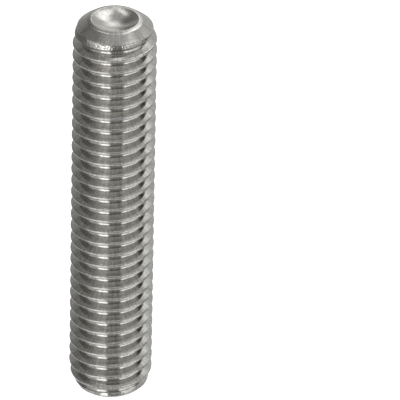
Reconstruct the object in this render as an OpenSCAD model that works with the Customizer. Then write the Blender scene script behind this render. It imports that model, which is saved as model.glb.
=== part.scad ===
// Socket set screw with a cup point: one headless threaded rod, driven by a hexagon key.
// It stands on its socket end, with the cup point up, and its axis is +Z.
// The origin is the middle of the socket end, at the plane of its lip.

/* [Size] */
// Length of the screw from the lip of the socket end to the rim of the cup
screw_l = 40; // [16:1:60]
// Nominal diameter of the thread
thread_d = 8; // [7.8:0.05:9]
// Length along the axis of one turn of the thread
pitch = 1.25; // [1:0.05:1.4]

/* [Thread] */
// How far the rolled crests lie under the nominal diameter
thread_play = 0.12; // [0.04:0.01:0.2]
// Depth of the groove from crest to root
thread_depth = 0.74; // [0.5:0.01:0.76]
// Width of the flat on the crest
crest_w = 0.22; // [0.1:0.01:0.3]
// Angle between the two flanks of the groove
flank_angle = 60; // [50:1:60]
// Height above the lip of the first crest that crosses the +X side
start_z = 0.5; // [0.2:0.05:1.2]
// Length along the axis in which the crests rise to full height at each end
runout_l = 1.3; // [0.6:0.1:2.5]

/* [Cup point] */
// Diameter over the rim of the cup
cup_d = 5.06; // [4:0.02:5.6]
// Width of the flat ring on the rim
rim_w = 0.2; // [0.06:0.01:0.3]
// Radius of the rounding on both sides of that ring
rim_round = 0.12; // [0.04:0.01:0.2]
// Slope of the hollow where it meets the rim. Below that it is round, like a shallow bowl.
cup_slope = 30; // [20:1:36]
// Angle of the outer cone behind the rim
point_angle = 106; // [90:1:116]

/* [Socket end] */
// Width of the hexagon across its flats
hex_af = 4.06; // [3:0.01:4.5]
// Depth of the hexagon from the lip to its flat floor
hex_depth = 5; // [2:0.1:8]
// Turn of the hexagon about the axis
hex_turn = 16; // [0:1:59]
// Diameter of the small cone left by the punch in the floor
punch_d = 2.1; // [1:0.05:2.8]
// Angle of that cone
punch_angle = 120; // [90:1:140]
// Diameter over the lip round the end
lip_d = 6.3; // [5.9:0.05:6.6]
// Width of the lip's flat ring
lip_w = 0.18; // [0.06:0.01:0.2]
// How far the end face lies below the lip
dish_depth = 0.12; // [0.05:0.01:0.3]
// Width of the slope between the lip and the end face
dish_slope_w = 0.33; // [0.05:0.01:0.36]
// Angle of the chamfer that starts the thread
chamfer_angle = 90; // [70:1:110]

/* [Hidden] */
$fn = 96;
steel = [0.63, 0.62, 0.60];

// Straight steps in one turn of the thread, and in each rounding of the rim
steps = 36;
round_steps = 3;
// Straight steps from the rim down to the middle of the cup
bowl_steps = 6;
// The socket's cut runs this far past the face that it opens
past = 1;

crest_r = (thread_d - thread_play) / 2;
root_r = crest_r - thread_depth;
flank_w = thread_depth * tan(flank_angle / 2);
// The rod had this radius before the thread was rolled: half way between crest and root
rod_r = crest_r - thread_depth / 2;
// The turned outline runs out to this radius, clear of the crests
clear_r = crest_r + 0.5;

// Outline of one crest and one groove: [radius, height above the crest's lower edge]
thread_form = [
    [crest_r, 0],
    [crest_r, crest_w],
    [root_r, crest_w + flank_w],
    [root_r, pitch - flank_w]
];
corners = len(thread_form);
// Turns of whole thread form, past both ends of the screw
turns = ceil(screw_l / pitch) + 2;
rows = turns * steps;
thread_z = start_z - crest_w / 2 - 2 * pitch;

// A point of the thread: its corner k of the form, i steps along the helix
function thread_point(i, k) = [
    thread_form[k].x * cos(360 * i / steps),
    thread_form[k].x * sin(360 * i / steps),
    thread_z + pitch * i / steps + thread_form[k].y
];

// The place of that point in the list. The last turn has only the crest's lower edge.
function place(i, k) = i <= rows ? corners * i + k : corners * (rows + 1) + i - rows - 1;

// The place of the next point up, which lies on the next turn for the last corner
function above(i, k) = k < corners - 1 ? place(i, k + 1) : place(i + steps, 0);

// The band between corner k and the one above it, one step long, as two triangles
function band(i, k) = [
    [place(i, k), above(i + 1, k), place(i + 1, k)],
    [place(i, k), above(i, k), above(i + 1, k)]
];

// Points of an arc about a centre, from one angle to another
function arc(centre, radius, from, to, n) = [
    for (i = [0:n])
        let (a = from + (to - from) * i / n)
        centre + radius * [cos(a), sin(a)]
];

// The thread as a rod of full form, longer than the screw at both ends
module thread() {
    points = concat(
        [for (i = [0:rows], k = [0:corners - 1]) thread_point(i, k)],
        [for (i = [rows + 1:rows + steps]) thread_point(i, 0)],
        [[0, 0, thread_z], [0, 0, thread_z + (turns + 1) * pitch]]
    );
    foot = len(points) - 2;
    top = len(points) - 1;
    bands = [for (i = [0:rows - 1], k = [0:corners - 1]) each band(i, k)];
    foot_fan = [for (i = [0:steps - 1]) [foot, place(i, 0), place(i + 1, 0)]];
    top_fan = [for (i = [rows:rows + steps - 1]) [top, place(i + 1, 0), place(i, 0)]];
    foot_step = [for (k = [0:corners - 1]) [foot, above(0, k), place(0, k)]];
    top_step = [for (k = [0:corners - 1]) [top, place(rows, k), above(rows, k)]];
    polyhedron(points, concat(bands, foot_fan, top_fan, foot_step, top_step));
}

// What bounds the thread at its ends: the dished end with its lip and chamfer, the point and the cup
module turned_form() {
    lip_r = lip_d / 2;
    dish_r = lip_r - lip_w - dish_slope_w;
    chamfer_h = (rod_r - lip_r) / tan(chamfer_angle / 2);
    runout_rise = runout_l * (clear_r - rod_r) / (crest_r - rod_r);

    // The rim's roundings end where they meet the outer cone and the cup
    point_turn = point_angle / 2;
    cup_turn = 90 + cup_slope;
    outer = [cup_d / 2 - rim_round * cos(point_turn), screw_l - rim_round];
    inner = outer - [rim_w, 0];
    outer_edge = outer + rim_round * [cos(point_turn), sin(point_turn)];
    inner_edge = inner + rim_round * [cos(cup_turn), sin(cup_turn)];
    point_z = outer_edge.y - (rod_r - outer_edge.x) / tan(point_turn);

    // The cup is part of a sphere whose middle lies above the rim
    bowl_r = inner_edge.x / sin(cup_slope);
    bowl_mid = [0, inner_edge.y + bowl_r * cos(cup_slope)];
    bowl = arc(bowl_mid, bowl_r, cup_slope - 90, -90, bowl_steps);

    rotate_extrude()
        polygon(concat(
            [[0, dish_depth], [dish_r, dish_depth], [lip_r - lip_w, 0], [lip_r, 0]],
            [[rod_r, chamfer_h], [clear_r, chamfer_h + runout_rise]],
            [[clear_r, point_z - runout_rise], [rod_r, point_z]],
            arc(outer, rim_round, point_turn, 90, round_steps),
            arc(inner, rim_round, 90, cup_turn, round_steps),
            [for (i = [1:bowl_steps - 1]) bowl[i]],
            [[0, bowl_mid.y - bowl_r]]
        ));
}

// The hexagon for the key, with the conical mark that the punch leaves in its floor
module socket() {
    rotate([0, 0, hex_turn])
        translate([0, 0, -past])
            cylinder(h = past + hex_depth, r = hex_af / 2 / cos(30), $fn = 6);
    translate([0, 0, hex_depth])
        cylinder(h = punch_d / 2 / tan(punch_angle / 2), r1 = punch_d / 2, r2 = 0);
}

module set_screw() {
    color(steel)
        difference() {
            intersection() {
                thread();
                turned_form();
            }
            socket();
        }
}

set_screw();
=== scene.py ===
import bpy
import numpy as np
from mathutils import Matrix, Vector


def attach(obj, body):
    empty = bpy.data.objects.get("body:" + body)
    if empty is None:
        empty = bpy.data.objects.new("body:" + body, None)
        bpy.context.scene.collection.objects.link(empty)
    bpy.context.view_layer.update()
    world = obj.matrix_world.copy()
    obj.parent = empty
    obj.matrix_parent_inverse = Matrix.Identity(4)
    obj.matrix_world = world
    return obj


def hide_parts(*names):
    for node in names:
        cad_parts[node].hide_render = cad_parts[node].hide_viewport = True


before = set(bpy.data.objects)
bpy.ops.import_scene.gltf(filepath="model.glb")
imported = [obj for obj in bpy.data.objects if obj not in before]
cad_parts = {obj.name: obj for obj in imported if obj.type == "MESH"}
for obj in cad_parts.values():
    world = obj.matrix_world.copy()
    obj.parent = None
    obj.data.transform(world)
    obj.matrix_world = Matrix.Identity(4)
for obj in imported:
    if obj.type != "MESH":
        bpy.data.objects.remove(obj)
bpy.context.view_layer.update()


# The screw's body and thread
# One stainless rod, thread rolled between two dies. They press the grooves in and squeeze the
# crests up out of the rod, so that the crests rise slowly at both ends and stay a little ragged.
# Lengths in this section and the next two are in millimetres.
mm = 0.001
length = 40.0
pitch = 1.25
crest_r = 3.94
thread_depth = 0.74
root_r = crest_r - thread_depth
rod_r = crest_r - thread_depth / 2
flank_turn = np.radians(60)
root_round = 0.20
crest_round = 0.05
start_z = 0.5
runout_l = 1.3

# The columns are a multiple of six, so that the hexagon's corners fall on them
hexagon_turn = 16.0
columns = 126
turn_deg = hexagon_turn + 360 / columns * np.arange(columns)
theta = np.radians(turn_deg)


def thread_form():
    """Half of one groove's outline, from the middle of a crest to the middle of the root.

    A flat, a small arc over the crest's edge, a straight flank that leans 30 degrees from square,
    and the larger arc of the root. Returns distances along the axis and radii."""
    half = pitch / 2
    reach = (thread_depth - (crest_round + root_round) / 2) / np.tan(flank_turn)
    flat = half - reach - (crest_round + root_round) * np.sin(flank_turn)
    over_crest = flank_turn * np.array([0.0, 0.34, 0.67, 1.0])
    in_root = flank_turn * np.array([1.0, 0.75, 0.5, 0.25, 0.0])
    edge_d = flat + crest_round * np.sin(over_crest)
    edge_r = crest_r - crest_round * (1 - np.cos(over_crest))
    root_d = half - root_round * np.sin(in_root)
    low_r = root_r + root_round * (1 - np.cos(in_root))
    along = np.array([0.12, 0.88])
    flank_d = edge_d[-1] + along * (root_d[0] - edge_d[-1])
    flank_r = edge_r[-1] + along * (low_r[0] - edge_r[-1])
    distance = np.concatenate([[0.0], edge_d, flank_d, root_d])
    radius = np.concatenate([[crest_r], edge_r, flank_r, low_r])
    return distance, radius


form_d, form_r = thread_form()
row_rise = np.concatenate([form_d, pitch - form_d[-2:0:-1]])
rows_per_turn = len(row_rise)
first_turn, last_turn = -3, int(np.ceil(length / pitch)) + 2
turn_of_row = np.repeat(np.arange(first_turn, last_turn), rows_per_turn)
rise_of_row = np.tile(row_rise, last_turn - first_turn)


def lattice_noise(u, v, seed):
    """Smooth random heights between -1 and 1.

    Each whole-numbered corner of a square lattice gets a random height, and between the four corners
    round a place the heights are blended by the share of the way, eased at both ends."""
    size = 256
    heights = np.random.default_rng(seed).uniform(-1, 1, (size, size))
    left = np.floor(u).astype(int)
    foot = np.floor(v).astype(int)
    across = u - left
    up = v - foot
    across = across * across * (3 - 2 * across)
    up = up * up * (3 - 2 * up)
    left, right = left % size, (left + 1) % size
    foot, head = foot % size, (foot + 1) % size
    low = heights[left, foot] * (1 - across) + heights[right, foot] * across
    high = heights[left, head] * (1 - across) + heights[right, head] * across
    return low * (1 - up) + high * up


def soft_least(first, second, width):
    """The smaller of two radii, with the corner between them rounded.

    Where they differ by less than the width, it lies lower by a quarter of the width times the square
    of what is missing to that difference, as a share."""
    near = np.maximum(width - np.abs(first - second), 0) / width
    return np.minimum(first, second) - near * near * width / 4


# The socket end's chamfer and the point's cone, where the rod was turned before rolling
lip_r = 3.15
lip_edge = 0.03
chamfer_h = rod_r - lip_r
point_turn = np.radians(53)
cup_slope = np.radians(30)

# The rim: how steep it is at each radius, from the point's cone over the edge and into the cup. Each
# step rises by its mean slope's tangent times its width, and the highest point is the screw's length.
rim_r = np.array([2.64, 2.615, 2.59, 2.56, 2.48, 2.38, 2.28, 2.22, 2.205, 2.195, 2.188])
rim_slope = np.radians([37, 28, 20, 16, 14, 12, 9, 5, -8, -20, -30])
rim_step = np.tan((rim_slope[1:] + rim_slope[:-1]) / 2) * (rim_r[:-1] - rim_r[1:])
rim_height = np.append(0, np.cumsum(rim_step))
rim_height = rim_height + length - rim_height.max()
cone_top_r = rim_r[0]
cone_top_z = rim_height[0]
cone_h = (rod_r - cone_top_r) / np.tan(point_turn)


def end_form(z):
    """Radius of the turned outline at each height.

    A straight cone from each end up to the rod's radius, then a slow rise to the crests."""
    beyond = crest_r + 5
    near_foot = np.interp(z, [0, chamfer_h, chamfer_h + runout_l, length], [lip_r, rod_r, crest_r, beyond])
    below_cone_top = cone_top_z - z
    near_head = np.interp(
        below_cone_top, [0, cone_h, cone_h + runout_l, length], [cone_top_r, rod_r, crest_r, beyond]
    )
    return np.minimum(near_foot, near_head)


# Each column of points is a fixed angle, and each row follows the helix round. A point's height is
# the start, plus the pitch times the turns up to it, plus its rise from the middle of the crest.
turns_up = turn_of_row[None, :] + turn_deg[:, None] / 360
side_z = start_z + pitch * turns_up + rise_of_row[None, :]
side_r = np.interp(np.minimum(rise_of_row, pitch - rise_of_row), form_d, form_r)[None, :] + 0 * side_z
way_along = turns_up * 2 * np.pi * rod_r
below_cone_top = cone_top_z - side_z

# The last groove fades out under the point's cone
side_r = np.maximum(side_r, np.interp(below_cone_top, [0.75, 1.35], [rod_r, root_r]))

# The dies leave the crests ragged by about a hundredth of a millimetre
is_crest = np.clip((side_r - crest_r + 0.16) / 0.12, 0, 1)
ragged = lattice_noise(way_along / 0.55, side_z / 0.3, 3)
ragged = ragged + 0.6 * lattice_noise(way_along / 0.24, side_z / 0.17, 4)
side_r = side_r - is_crest * 0.008 * (1.6 + ragged)

# The turned outline cuts the thread, and the metal is torn where the crests begin to rise from it
outline = end_form(side_z)
is_turned = np.clip(1 - (outline - side_r) / 0.05, 0, 1)
run_out = np.clip((outline - rod_r + 0.25) / 0.2, 0, 1) * np.clip((crest_r - outline) / 0.12, 0, 1)
side_r = soft_least(side_r, outline, 0.06)
torn = lattice_noise(way_along / 0.3, side_z / 0.22, 5)
side_r = side_r - is_turned * run_out * 0.012 * (1.6 + torn)

# Rows past either end stop on the end's own ring, and the faces between such points are left out
low_row = (side_z <= lip_edge).sum(1) - 1
high_row = side_z.shape[1] - (side_z >= cone_top_z).sum(1)
rows = np.arange(side_z.shape[1])
kept_row = np.clip(rows[None, :], low_row[:, None], high_row[:, None])
at_low = rows[None, :] == low_row[:, None]
at_high = rows[None, :] == high_row[:, None]
side_z = np.where(at_low, lip_edge, np.where(at_high, cone_top_z, side_z))
side_r = np.where(at_low, lip_r + lip_edge, np.where(at_high, cone_top_r, side_r))
side_points = np.stack([side_r * np.cos(theta)[:, None], side_r * np.sin(theta)[:, None], side_z], -1)


# The socket end
# Forged: a hexagon pressed in by a punch, which leaves a flat floor with a small conical mark,
# a dished face round the mouth, and a lip of squeezed-out metal where the end meets its chamfer.
hexagon_af = 4.06
hexagon_depth = 5.0
punch_r = 1.05
punch_angle = np.radians(120)
punch_h = punch_r / np.tan(punch_angle / 2)
floor_round = 0.1
mouth_round = 0.05
dish_depth = 0.12
lip_flat = 0.18
dish_slope_w = 0.33
face_r = lip_r - lip_flat - dish_slope_w
hexagon_r = hexagon_af / 2 / np.cos(np.radians((turn_deg - hexagon_turn) % 60 - 30))


def ring(radius, z):
    """One closed row of points round the axis: for each column, the radius at its angle, at height z."""
    radius = radius + 0 * theta
    return np.stack([radius * np.cos(theta), radius * np.sin(theta), z + 0 * theta], -1)


def between(inner, outer, shares):
    """Radii from the inner one to the outer one, one for each share of the way."""
    return [inner + (outer - inner) * share for share in shares]


quarter = np.radians([0, 30, 60, 90])
mark_shares = (0.08, 0.25, 0.5, 0.75, 0.95, 1.0)
socket_rings = [ring(punch_r * share, hexagon_depth + punch_h * (1 - share)) for share in mark_shares]
floor_radii = between(punch_r, hexagon_r - floor_round, (0.05, 0.3, 0.6, 0.9, 1.0))
socket_rings += [ring(radius, hexagon_depth) for radius in floor_radii]
socket_rings += [
    ring(hexagon_r - floor_round * (1 - np.sin(angle)), hexagon_depth - floor_round * (1 - np.cos(angle)))
    for angle in quarter[1:]
]
wall_heights = np.linspace(hexagon_depth - 0.3, dish_depth + 0.15, 9)
socket_rings += [ring(hexagon_r, z) for z in wall_heights]
socket_rings += [
    ring(hexagon_r + mouth_round * (1 - np.cos(angle)), dish_depth + mouth_round * (1 - np.sin(angle)))
    for angle in quarter
]
face_radii = between(hexagon_r + mouth_round, face_r, (0.06, 0.3, 0.6, 0.94, 1.0))
face_rings = [ring(radius, dish_depth) for radius in face_radii]
slope_shares = (0.08, 0.5, 0.92)
face_rings += [ring(face_r + dish_slope_w * share, dish_depth * (1 - share)) for share in slope_shares]

# The lip's outer edge is uneven by about two hundredths of a millimetre
burr = 0.012 * (1 + lattice_noise(turn_deg / 4, 0 * turn_deg, 6))
lip_shares = ((0.1, 0), (0.5, 0), (0.8, 0.4), (1.0, 1.0))
face_rings += [ring(lip_r - lip_flat * (1 - out), burr * burr_share) for out, burr_share in lip_shares]


# The cup point
# Turned: the cone bends over into a narrow rim, and the cup inside the rim is a shallow bowl, part
# of a sphere. Its edge is what bites into a shaft, and shows as a thin bright line.
rim_rings = [ring(radius, z) for radius, z in zip(rim_r[1:], rim_height[1:])]
bowl_r = rim_r[-1] / np.sin(cup_slope)
bowl_mid_z = rim_height[-1] + bowl_r * np.cos(cup_slope)
down_slope = cup_slope * np.array([0.98, 0.94, 0.88, 0.8, 0.71, 0.62, 0.53, 0.44, 0.35, 0.26, 0.17, 0.08])
cup_rings = [ring(bowl_r * np.sin(slope), bowl_mid_z - bowl_r * np.cos(slope)) for slope in down_slope]
punch_tip = (0, 0, hexagon_depth + punch_h)
cup_bottom = (0, 0, bowl_mid_z - bowl_r)


def strip(lower, upper):
    """Faces between two closed rows of point numbers, seen from outside."""
    return np.stack([lower, np.roll(lower, -1), np.roll(upper, -1), upper], -1)


def strips(chain):
    """Faces between each closed row of point numbers in a chain and the next."""
    return np.concatenate([strip(lower, upper) for lower, upper in zip(chain, chain[1:])])


def fan(pole, row):
    """Triangles between one point and a closed row that runs round it to the right, seen from outside."""
    return np.stack([row, np.roll(row, -1), np.full(columns, pole)], -1)


# All the points in order: the side, the rows below it from the punch's mark out to the lip, the
# rows over it from the cone into the cup, and the two points where those rows close
below = [*socket_rings, *face_rings]
over = [*rim_rings, *cup_rings]
points = np.concatenate([side_points.reshape(-1, 3), *below, *over, [punch_tip], [cup_bottom]])
side_count = side_points.shape[0] * side_points.shape[1]
below_rows = [side_count + columns * k + np.arange(columns) for k in range(len(below))]
over_rows = [below_rows[-1] + columns * (k + 1) for k in range(len(over))]
punch_pole = len(points) - 2
cup_pole = len(points) - 1

# Faces between each column of the side and the next. The last column meets the first one a turn up.
stride = side_points.shape[1]
number = np.arange(columns)[:, None] * stride + kept_row
beyond_seam = np.clip(rows + rows_per_turn, low_row[0], high_row[0])
next_number = np.concatenate([number[1:], beyond_seam[None, :]])
left_low, left_high = number[:, :-1], number[:, 1:]
right_low, right_high = next_number[:, :-1], next_number[:, 1:]
left_open = left_low != left_high
right_open = right_low != right_high
quads = np.stack([left_low, right_low, right_high, left_high], -1)[left_open & right_open]
left_only = np.stack([left_low, right_low, left_high], -1)[left_open & ~right_open]
right_only = np.stack([left_low, right_low, right_high], -1)[right_open & ~left_open]

low_ring = np.arange(columns) * stride + low_row
high_ring = np.arange(columns) * stride + high_row
groups = [
    quads,
    left_only,
    right_only,
    strips([*below_rows, low_ring]),
    fan(punch_pole, below_rows[0])[:, ::-1],
    strips([high_ring, *over_rows]),
    fan(cup_pole, over_rows[-1]),
]
used = np.zeros(len(points), bool)
used[np.concatenate([group.ravel() for group in groups])] = True
new_number = np.cumsum(used) - 1
faces = [face for group in groups for face in new_number[group].tolist()]

screw_mesh = bpy.data.meshes.new("set_screw")
screw_mesh.from_pydata((points[used] * mm).tolist(), [], faces)

# How far each point is crest, torn metal and turned face, from 0 to 1: on the side and on the ends.
# The crests under the point are a little torn too, less and less from 2.4 to 3.6 mm below the cone's top.
squeezed_crest = 0.45 * is_crest * np.clip((3.6 - below_cone_top) / 1.2, 0, 1)
surface = {
    "crest": (is_crest * (1 - is_turned), 0),
    "squeezed": (np.maximum(is_turned * run_out, squeezed_crest), 0),
    "turned": (is_turned, 1),
}
for name, (on_side, on_ends) in surface.items():
    weight = np.full(len(points), on_ends, np.float32)
    weight[:side_count] = on_side.ravel()
    screw_mesh.attributes.new(name, "FLOAT", "POINT").data.foreach_set("value", weight[used])
screw_mesh.polygons.foreach_set("use_smooth", np.ones(len(faces), bool))
screw_mesh.validate()
screw_mesh.update()
screw_mesh.set_sharp_from_angle(angle=np.radians(40))
screw = bpy.data.objects.new("threaded_set_screw", screw_mesh)
bpy.context.scene.collection.objects.link(screw)
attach(screw, "root")
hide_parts("set_screw")


# Bare stainless steel
# The dies leave the flanks and roots burnished, with faint marks across them, and the crests matt.
# Where the crests run out the metal is torn and grainy. The ends were turned, and the socket forged.
def linear(hex_colour):
    """A colour written as sRGB hex, turned to the linear values that a shader takes."""
    parts = np.array([int(hex_colour[i : i + 2], 16) for i in (1, 3, 5)]) / 255
    return (*np.where(parts <= 0.04045, parts / 12.92, ((parts + 0.055) / 1.055) ** 2.4), 1.0)


def add_node(tree, kind, inputs=None, **settings):
    """Adds one node, sets its properties, and fills its inputs with numbers or links.

    An input may be another node, which is then linked by its first output, or one of its outputs."""
    node = tree.nodes.new(kind)
    for name, value in settings.items():
        setattr(node, name, value)
    for name, value in (inputs or {}).items():
        if isinstance(value, bpy.types.Node):
            value = value.outputs[0]
        if isinstance(value, bpy.types.NodeSocket):
            tree.links.new(value, node.inputs[name])
        else:
            node.inputs[name].default_value = value
    return node


def new_material(name):
    """An empty node material and its tree."""
    material = bpy.data.materials.new(name)
    material.use_nodes = True
    material.node_tree.nodes.clear()
    return material, material.node_tree


# Waves to a millimetre. The real marks and grain are some hundredths of a millimetre wide. They are
# drawn at about 0.2 mm, or two pixels, so that they show. The blotches are broad and shallow.
marks_round, marks_up = 4.5, 0.7
grain_waves = 4.5
blotch_waves = 0.8
steel, tree = new_material("rolled_stainless_steel")
crest = add_node(tree, "ShaderNodeAttribute", attribute_name="crest").outputs["Fac"]
squeezed = add_node(tree, "ShaderNodeAttribute", attribute_name="squeezed").outputs["Fac"]
turned = add_node(tree, "ShaderNodeAttribute", attribute_name="turned").outputs["Fac"]
place = add_node(tree, "ShaderNodeTexCoord").outputs["Object"]
place = add_node(tree, "ShaderNodeVectorMath", {0: place, 1: (1 / mm,) * 3}, operation="MULTIPLY")

# The marks are counted round the screw and up it, and they run straight in to the axis
way_out = add_node(tree, "ShaderNodeVectorMath", {0: place, 1: (1, 1, 0)}, operation="MULTIPLY")
way_out = add_node(tree, "ShaderNodeVectorMath", {0: way_out}, operation="NORMALIZE")
per_radian = (marks_round * rod_r,) * 3
round_waves = add_node(tree, "ShaderNodeVectorMath", {0: way_out, 1: per_radian}, operation="MULTIPLY")
up_waves = add_node(tree, "ShaderNodeVectorMath", {0: place, 1: (0, 0, marks_up)}, operation="MULTIPLY")
waves = add_node(tree, "ShaderNodeVectorMath", {0: round_waves, 1: up_waves}, operation="ADD")
marks = add_node(tree, "ShaderNodeTexNoise", {"Vector": waves, "Scale": 1.0, "Detail": 1.0})
grain = add_node(tree, "ShaderNodeTexNoise", {"Vector": place, "Scale": grain_waves, "Detail": 2.0})
blotches = add_node(tree, "ShaderNodeTexNoise", {"Vector": place, "Scale": blotch_waves, "Detail": 1.0})

# How high each of the three stands, in millimetres: on the rolled thread and on the turned ends, and
# the grain also on the crests and where the metal is torn
mark_height = add_node(tree, "ShaderNodeMix", {0: turned, 2: 0.0011, 3: 0.0012})
grain_height = add_node(tree, "ShaderNodeMix", {0: turned, 2: 0.0005, 3: 0.0010})
grain_height = add_node(tree, "ShaderNodeMix", {0: crest, 2: grain_height, 3: 0.0030})
grain_height = add_node(tree, "ShaderNodeMix", {0: squeezed, 2: grain_height, 3: 0.040})
blotch_height = add_node(tree, "ShaderNodeMix", {0: turned, 2: 0.002, 3: 0.030})
height = 0.0
for pattern, full_height in ((marks, mark_height), (grain, grain_height), (blotches, blotch_height)):
    summed = {0: pattern, 1: full_height, 2: height}
    height = add_node(tree, "ShaderNodeMath", summed, operation="MULTIPLY_ADD")
bump = add_node(tree, "ShaderNodeBump", {"Strength": 1.0, "Distance": mm, "Height": height})

roughness = add_node(tree, "ShaderNodeMix", {0: turned, 2: 0.13, 3: 0.20})
roughness = add_node(tree, "ShaderNodeMix", {0: crest, 2: roughness, 3: 0.17})
speckle = add_node(tree, "ShaderNodeMix", {0: 0.5, 2: marks, 3: grain})
speckle = add_node(tree, "ShaderNodeMapRange", {"Value": speckle, "From Min": 0.35, "From Max": 0.65})
shades = {0: speckle, 6: linear("#C6C4BF"), 7: linear("#E2E1DC")}
shade = add_node(tree, "ShaderNodeMix", shades, data_type="RGBA").outputs[2]
finish = {"Base Color": shade, "Metallic": 1.0, "Roughness": roughness, "Normal": bump}
shader = add_node(tree, "ShaderNodeBsdfPrincipled", finish)
add_node(tree, "ShaderNodeOutputMaterial", {"Surface": shader})
screw_mesh.materials.append(steel)


# The table
# A white sheet, far larger than the screw. It shows white to the camera and keeps a soft shadow.
# The screw mirrors the tent's lower cards in its place, because they are lit as the real table was.
table_mesh = bpy.data.meshes.new("table")
reach = 1.5
corners = [(-reach, -reach, 0), (reach, -reach, 0), (reach, reach, 0), (-reach, reach, 0)]
table_mesh.from_pydata(corners, [], [(0, 1, 2, 3)])
table = bpy.data.objects.new("table", table_mesh)
bpy.context.scene.collection.objects.link(table)
table.visible_glossy = False
sheet, tree = new_material("white_sheet")
glow = add_node(tree, "ShaderNodeEmission", {"Color": (1, 1, 1, 1), "Strength": 0.8})
matt = add_node(tree, "ShaderNodeBsdfDiffuse", {"Color": (0.9, 0.9, 0.9, 1)})
both = add_node(tree, "ShaderNodeAddShader", {0: glow, 1: matt})
add_node(tree, "ShaderNodeOutputMaterial", {"Surface": both})
table_mesh.materials.append(sheet)


# The camera
# A long lens a little over 700 mm away, looking down on the screw and turned by about a degree.
# Lengths here are in millimetres too.
frame_px = 400
px_per_mm = 10.65
camera_far = 722.0
look_down = np.radians(32.34)
camera_roll = np.radians(1.22)
screw_x_px, screw_mid_y_px = 112.67, 201.38
camera_data = bpy.data.cameras.new("camera")
camera_data.sensor_width = 36.0
camera_data.lens = camera_data.sensor_width * px_per_mm * camera_far / frame_px
camera = bpy.data.objects.new("camera", camera_data)
bpy.context.scene.collection.objects.link(camera)
bpy.context.scene.camera = camera
right = Vector((1, 0, 0))
up = Vector((0, np.sin(look_down), np.cos(look_down)))
back = Vector((0, -np.cos(look_down), np.sin(look_down)))
rolled_right = right * np.cos(camera_roll) + up * np.sin(camera_roll)
rolled_up = up * np.cos(camera_roll) - right * np.sin(camera_roll)
aside = (frame_px / 2 - screw_x_px) / px_per_mm
lift = (screw_mid_y_px - frame_px / 2) / px_per_mm
aim = Vector((0, 0, length / 2)) + rolled_right * aside + rolled_up * lift
turn = Matrix((rolled_right, rolled_up, back)).transposed()
camera.matrix_world = Matrix.Translation((aim + back * camera_far) * mm) @ turn.to_4x4()


# The light tent
# White cloth round and over the table, with soft boxes, pale sheets and dark sheets hung in it. The
# screw mirrors them all. Each is a soft-edged card, and lies over the ones named before it.
world = bpy.data.worlds.new("light_tent")
world.use_nodes = True
bpy.context.scene.world = world
tree = world.node_tree
tree.nodes.clear()
direction = add_node(tree, "ShaderNodeTexCoord").outputs["Generated"]
parts = add_node(tree, "ShaderNodeSeparateXYZ", {0: direction})
forward = add_node(tree, "ShaderNodeMath", {0: parts.outputs["Y"], 1: -1.0}, operation="MULTIPLY")
way_round = add_node(tree, "ShaderNodeMath", {0: parts.outputs["X"], 1: forward}, operation="ARCTAN2")
way_round = add_node(tree, "ShaderNodeMath", {0: way_round}, operation="DEGREES")
way_up = add_node(tree, "ShaderNodeMath", {0: parts.outputs["Z"]}, operation="ARCSINE")
way_up = add_node(tree, "ShaderNodeMath", {0: way_up}, operation="DEGREES")


def card(below, level, middle, half_width, half_height, soft_sides, soft_ends):
    """One card of even light on the tent, as a level that replaces what is below it.

    middle holds the card's direction: degrees round from the camera, to the right, and degrees up.
    Towards its edges the card fades out with a smooth step, half inside them and half outside."""
    nearest_turn = {0: way_round, 1: middle[0] + 180, 2: middle[0] - 180}
    nearest = add_node(tree, "ShaderNodeMath", nearest_turn, operation="WRAP")
    off_round = add_node(tree, "ShaderNodeMath", {0: nearest, 1: middle[0]}, operation="SUBTRACT")
    off_up = add_node(tree, "ShaderNodeMath", {0: way_up, 1: middle[1]}, operation="SUBTRACT")
    masks = []
    for off, half, soft in ((off_round, half_width, soft_sides), (off_up, half_height, soft_ends)):
        off = add_node(tree, "ShaderNodeMath", {0: off}, operation="ABSOLUTE")
        edge = {"Value": off, "From Min": half + soft / 2, "From Max": half - soft / 2}
        masks.append(add_node(tree, "ShaderNodeMapRange", edge, interpolation_type="SMOOTHSTEP"))
    both = add_node(tree, "ShaderNodeMath", {0: masks[0], 1: masks[1]}, operation="MULTIPLY")
    return add_node(tree, "ShaderNodeMix", {0: both, 2: below, 3: level})


cloth = 0.42

# The lit table, brighter at the front left
tent = card(cloth, 1.1, (0, -37), 190, 9, 1, 10)
tent = card(tent, 1.2, (-33, -40), 47, 10, 20, 11)

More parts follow.
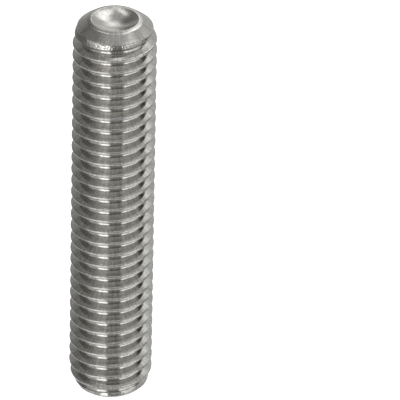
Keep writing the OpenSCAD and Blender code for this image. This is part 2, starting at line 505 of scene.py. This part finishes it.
# A soft box left of the camera, one right of it with a brighter strip, and the dark gap between them
tent = card(tent, 2.35, (-25, 12), 20, 16, 14, 16)
tent = card(tent, 1.5, (50, 17), 28, 10, 21, 13)
tent = card(tent, 2.2, (35, 16), 8, 10, 10, 12)
tent = card(tent, 0.15, (7, 10), 21, 35, 5, 16)

# Dark sheets at the left and at the right
tent = card(tent, 0.14, (-106, 11), 44, 52, 40, 38)
tent = card(tent, 0.05, (99, 6), 12, 20, 9, 18)

# A pale sheet behind to the right, with two lamps over it and one straight behind
tent = card(tent, 0.5, (146, 3), 36, 41, 10, 10)
tent = card(tent, 1.6, (140, 63), 18, 18, 13, 36)
tent = card(tent, 1.8, (155, 46), 11, 9, 16, 18)
tent = card(tent, 1.45, (179, 31), 11, 9, 18, 22)

# A lamp high behind to the left, over two grey sheets
tent = card(tent, 1.85, (-132, 75), 12, 19, 15, 12)
tent = card(tent, 0.3, (-148, 14), 13, 15, 24, 26)
tent = card(tent, 0.15, (-158, 35), 15, 13, 22, 16)

# The lit roof, with a grey sheet under it at the left and a white one at the right
tent = card(tent, 1.2, (0, 97), 190, 11, 1, 16)
tent = card(tent, 0.2, (-107, 52), 26, 16, 12, 22)
tent = card(tent, 1.0, (66, 54), 26, 8, 16, 11)

# Duller parts of the table: at the right, at the front right, and right in front of the camera
tent = card(tent, 0.35, (106, -33), 28, 25, 14, 11)
tent = card(tent, 0.9, (58, -40), 30, 15, 18, 12)
tent = card(tent, 0.55, (9, -42), 19, 16, 10, 8)

# A pale sheet beside the left soft box
tent = card(tent, 0.5, (-65, 19), 17, 26, 16, 22)

path = add_node(tree, "ShaderNodeLightPath")
walls = add_node(tree, "ShaderNodeBackground", {"Color": linear("#FFFFFF"), "Strength": tent})
white = add_node(tree, "ShaderNodeBackground", {"Color": linear("#FFFFFF"), "Strength": 1.0})
seen = {0: path.outputs["Is Camera Ray"], 1: walls, 2: white}
shown = add_node(tree, "ShaderNodeMixShader", seen)
add_node(tree, "ShaderNodeOutputWorld", {"Surface": shown})

bpy.context.scene.view_settings.view_transform = "Standard"
